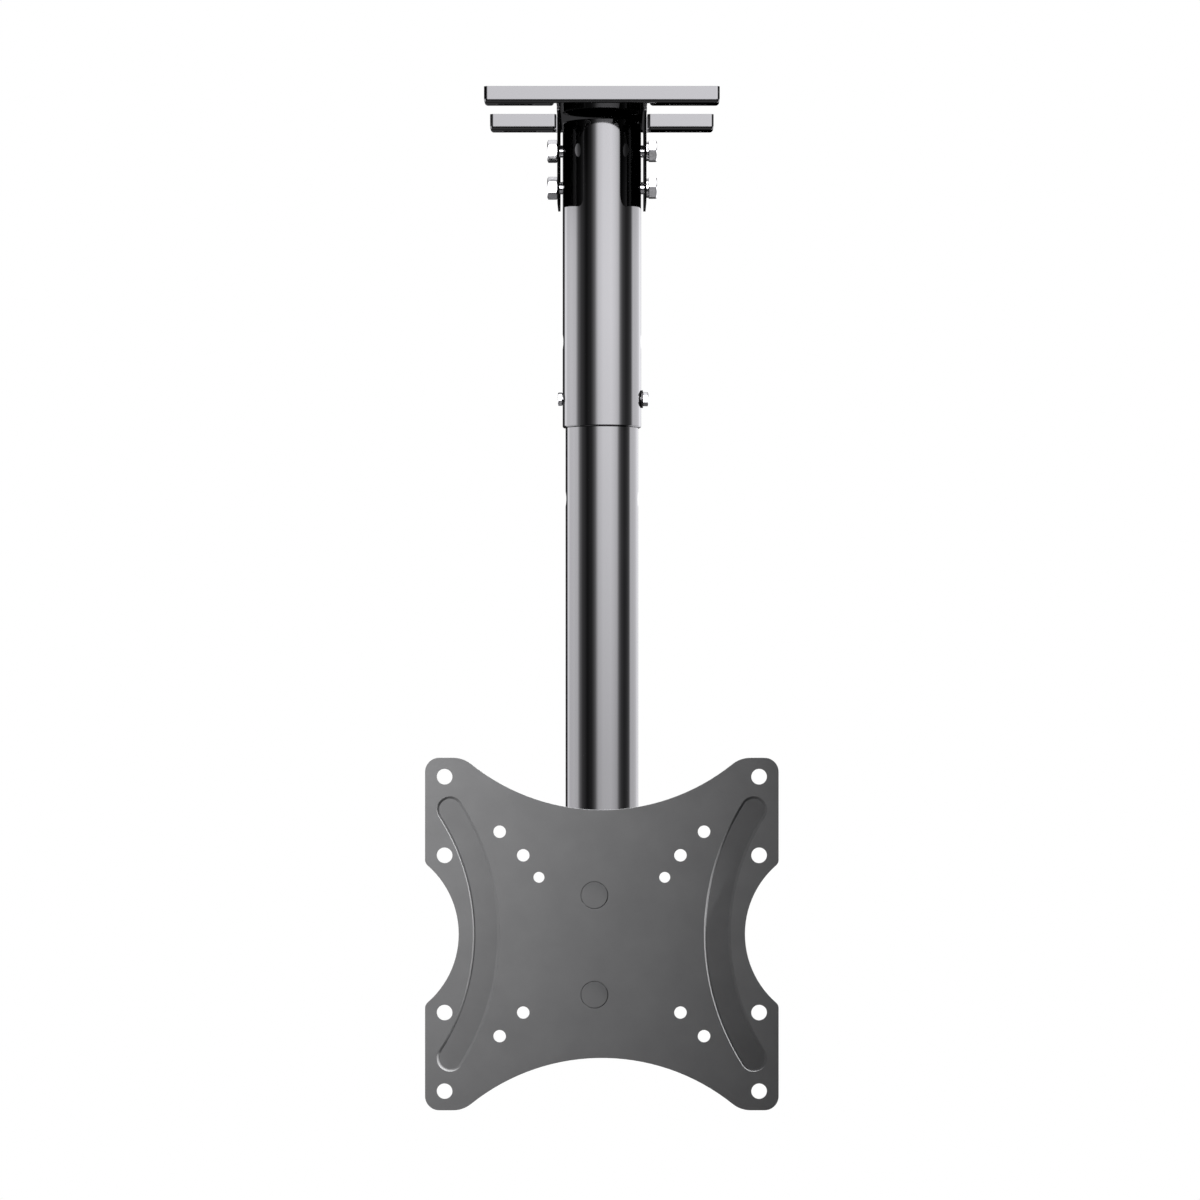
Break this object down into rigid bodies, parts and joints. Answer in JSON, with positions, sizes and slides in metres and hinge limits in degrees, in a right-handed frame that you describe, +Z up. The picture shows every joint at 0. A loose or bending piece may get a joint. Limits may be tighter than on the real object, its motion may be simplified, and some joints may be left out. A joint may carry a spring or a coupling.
{
  "type": "tv ceiling mount",
  "caption": "Telescopic ceiling pole with a folded ceiling plate and a swivelling, tilting plate for the back of a flat TV.",
  "frame": {"origin": "on the ceiling plane, over the middle of the pole", "axes": "+Z up into the ceiling, the TV plate faces -Y, +X to the right as seen from the front"},
  "size_m": [0.2248, 0.15, 0.6512],
  "materials": {
    "gloss_black": "gloss",
    "satin_grey": "satin",
    "bright_zinc": "bright zinc",
    "dark_steel": "dark oxide",
    "black_plastic": "matt"
  },
  "bodies": {
    "ceiling_bracket": {"ceiling_plate": "gloss_black", "outer_pole": "gloss_black", "cross_bolt_upper": "bright_zinc", "cross_bolt_lower": "bright_zinc", "cross_bolt_washer_upper": "bright_zinc", "cross_bolt_washer_lower": "bright_zinc", "cross_bolt_nut_upper": "bright_zinc", "cross_bolt_nut_lower": "bright_zinc", "height_lock_bolt": "bright_zinc", "height_lock_washer": "dark_steel", "height_lock_nut": "bright_zinc"},
    "pole_slider": {"inner_pole": "gloss_black", "pole_end_disc": "gloss_black", "friction_washer": "black_plastic", "swivel_bolt": "bright_zinc", "swivel_bolt_washer": "bright_zinc", "swivel_nut_washer": "bright_zinc", "swivel_nut": "bright_zinc"},
    "swivel_head": {"yoke": "gloss_black", "tilt_bolt": "bright_zinc", "tilt_washer_right": "bright_zinc", "tilt_washer_left": "bright_zinc", "tilt_nut": "bright_zinc", "tilt_spacer_right": "black_plastic", "tilt_spacer_left": "black_plastic", "tilt_lock_bolt": "bright_zinc", "tilt_lock_washer_right": "bright_zinc", "tilt_lock_washer_left": "bright_zinc", "tilt_lock_nut": "bright_zinc"},
    "tv_plate_body": {"tv_plate": "satin_grey", "tilt_bracket": "gloss_black", "plate_rivet_upper": "satin_grey", "plate_rivet_lower": "satin_grey"}
  },
  "joints": [
    {"name": "pole_height", "type": "slide", "parent": "ceiling_bracket", "child": "pole_slider", "axis": [0, 0, -1], "range_m": [0, 0.08]},
    {"name": "pole_swivel", "type": "hinge", "parent": "pole_slider", "child": "swivel_head", "pos_m": [0, 0, -0.48295], "axis": [0, 0, 1], "continuous": true},
    {"name": "plate_tilt", "type": "hinge", "parent": "swivel_head", "child": "tv_plate_body", "pos_m": [0, -0.03, -0.54615], "axis": [1, 0, 0], "range_deg": [-5, 15]}
  ]
}
